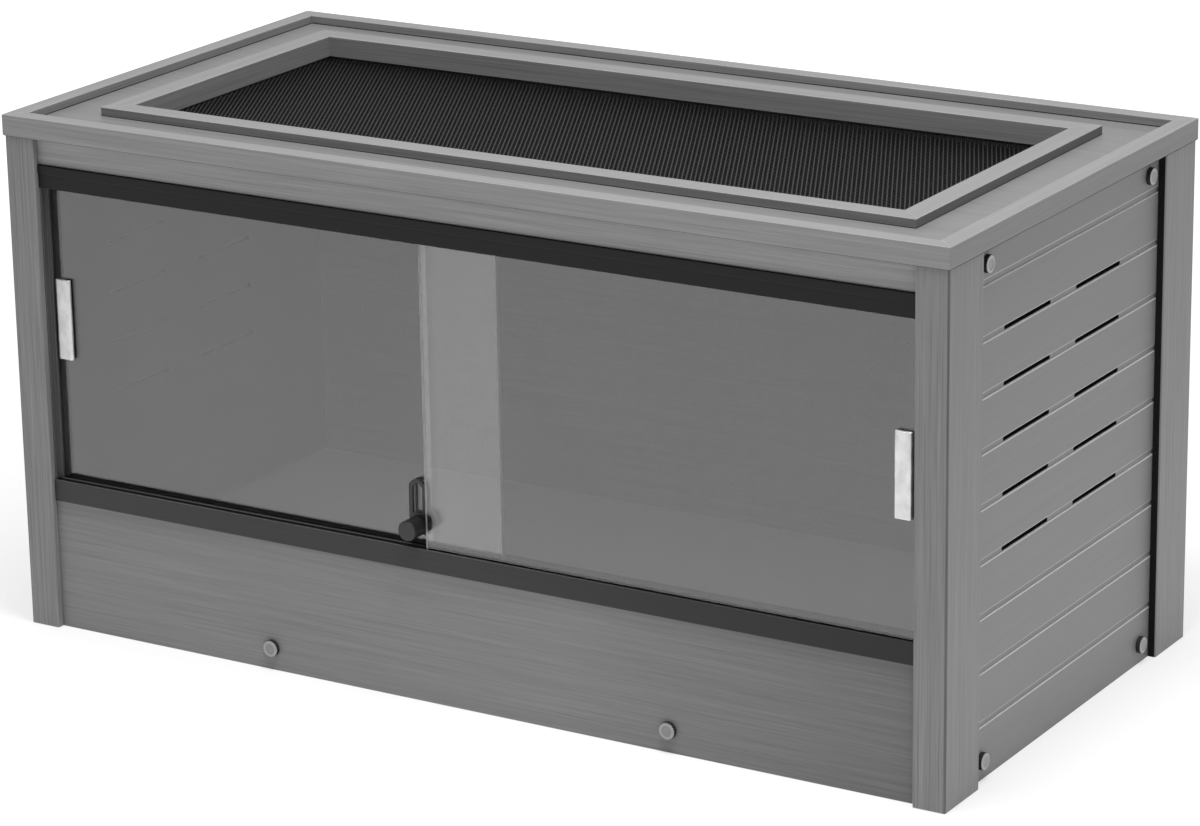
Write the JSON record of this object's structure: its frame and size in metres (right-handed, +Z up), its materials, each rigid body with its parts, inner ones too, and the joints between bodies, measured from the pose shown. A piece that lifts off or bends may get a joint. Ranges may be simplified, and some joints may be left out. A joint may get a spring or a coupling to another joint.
{
  "type": "terrarium cabinet",
  "caption": "Low grey terrarium cabinet with sliding glass doors, a screw lock, slatted vented sides, corner posts and a lift-off screen lid in a recessed top.",
  "frame": {"origin": "on the floor under the middle of the cabinet, on the underside of the middle floor bearer", "axes": "+Z up; -Y towards the front with the glass doors; +X to the right, seen from the front"},
  "size_m": [1, 0.5108, 0.51],
  "materials": {
    "painted_board": "satin grey lacquer over a fine straight grain",
    "painted_cap": "satin grey lacquer over a fine straight grain",
    "black_plastic": "extruded, semi-matt",
    "clear_glass": "clear float glass with ground edges",
    "satin_handle": "satin silver",
    "foam_tape": "matt foam",
    "lock_plastic": "moulded, semi-gloss",
    "plated_steel": "plated",
    "screw_metal": "turned and matt plated",
    "brass_insert": "turned",
    "black_mesh": "matt black woven wire"
  },
  "bodies": {
    "cabinet": {"post_front_left": "painted_board", "post_front_right": "painted_board", "post_rear_left": "painted_board", "post_rear_right": "painted_board", "cap_front": "painted_cap", "cap_back": "painted_cap", "cap_left": "painted_cap", "cap_right": "painted_cap", "top_panel": "painted_cap", "upper_rail": "painted_board", "lower_board": "painted_board", "sill_rail": "painted_board", "top_track": "black_plastic", "bottom_track": "black_plastic", "jamb_left": "black_plastic", "jamb_right": "black_plastic", "side_panel_left": "painted_board", "side_panel_right": "painted_board", "back_panel": "painted_board", "floor_panel": "painted_board", "bearer_front": "painted_board", "bearer_back": "painted_board", "bearer_left": "painted_board", "bearer_right": "painted_board", "bearer_middle": "painted_board", "cleat_left": "painted_board", "cleat_right": "painted_board", "cleat_back": "painted_board", "thumb_screws_front": "screw_metal", "thumb_screws_back": "screw_metal", "thumb_screws_left": "screw_metal", "thumb_screws_right": "screw_metal", "insert_nuts": "brass_insert"},
    "lid": {"lid_front": "painted_cap", "lid_back": "painted_cap", "lid_left": "painted_cap", "lid_right": "painted_cap", "screen": "black_mesh", "screen_strips": "painted_board"},
    "door_left": {"pane_left": "clear_glass", "handle_left": "satin_handle", "tape_left": "foam_tape"},
    "door_right": {"pane_right": "clear_glass", "handle_right": "satin_handle", "tape_right": "foam_tape", "lock_plate": "lock_plastic"},
    "lock_washer": {"lock_washer": "lock_plastic"},
    "lock_knob": {"lock_knob": "lock_plastic", "lock_screw": "plated_steel"}
  },
  "joints": [
    {"name": "door_left_slide", "type": "slide", "parent": "cabinet", "child": "door_left", "axis": [1, 0, 0], "range_m": [0, 0.42]},
    {"name": "door_right_slide", "type": "slide", "parent": "cabinet", "child": "door_right", "axis": [-1, 0, 0], "range_m": [0, 0.4]},
    {"name": "lock_feed", "type": "slide", "parent": "door_right", "child": "lock_washer", "axis": [0, -1, 0], "range_m": [0, 0.0015]},
    {"name": "lock_turn", "type": "hinge", "parent": "lock_washer", "child": "lock_knob", "pos_m": [-0.0502, -0.25, 0.1705], "axis": [0, -1, 0], "range_deg": [0, 540]},
    {"name": "lid_lift", "type": "slide", "parent": "cabinet", "child": "lid", "axis": [0, 0, 1], "range_m": [0, 0.12]}
  ],
  "couplings": [
    {"joint": "lock_feed", "follows": "lock_turn", "m_per_rad": 0.000159}
  ]
}
